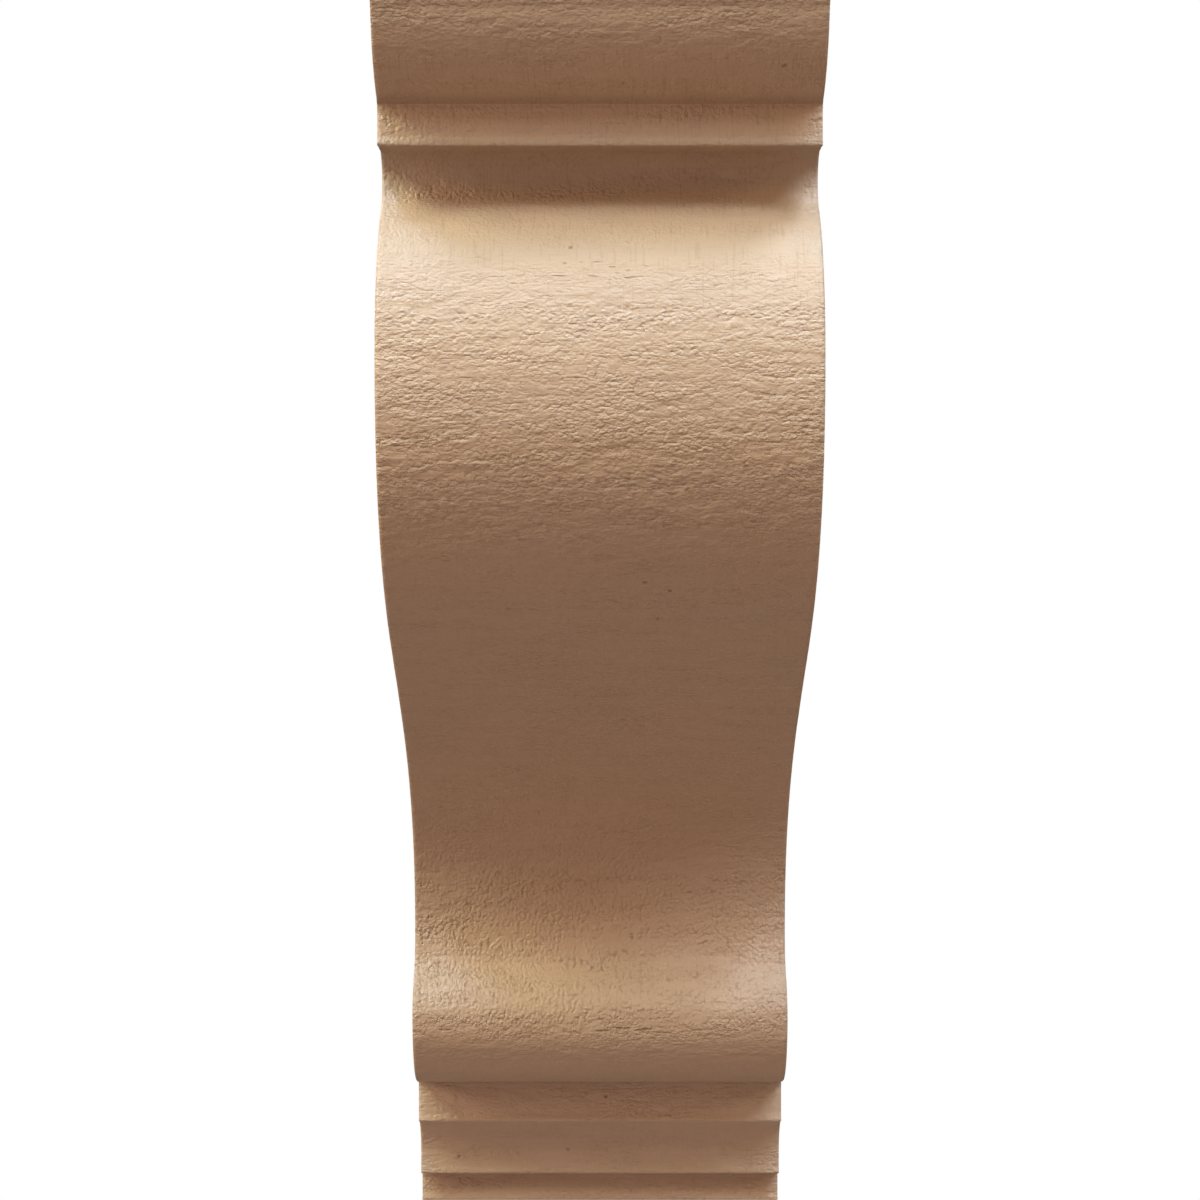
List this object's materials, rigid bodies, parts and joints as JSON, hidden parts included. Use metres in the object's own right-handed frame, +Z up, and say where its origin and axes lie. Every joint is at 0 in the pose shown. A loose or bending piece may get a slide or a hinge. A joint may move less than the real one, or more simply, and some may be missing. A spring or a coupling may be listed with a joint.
{
  "type": "scroll corbel",
  "caption": "Wall corbel with an S-shaped scroll front, a moulded top and foot, flat sides and a flat back, moulded with a rough-sawn timber face.",
  "frame": {"origin": "centre of the flat back, where the corbel meets the wall", "axes": "+Z up, +Y into the wall, so the scroll faces -Y; X is the width"},
  "size_m": [0.1016, 0.2031, 0.3048],
  "materials": {
    "tan_primer": "satin tan primer over a rough-sawn timber relief"
  },
  "bodies": {
    "root": {"corbel": "tan_primer"}
  },
  "joints": []
}
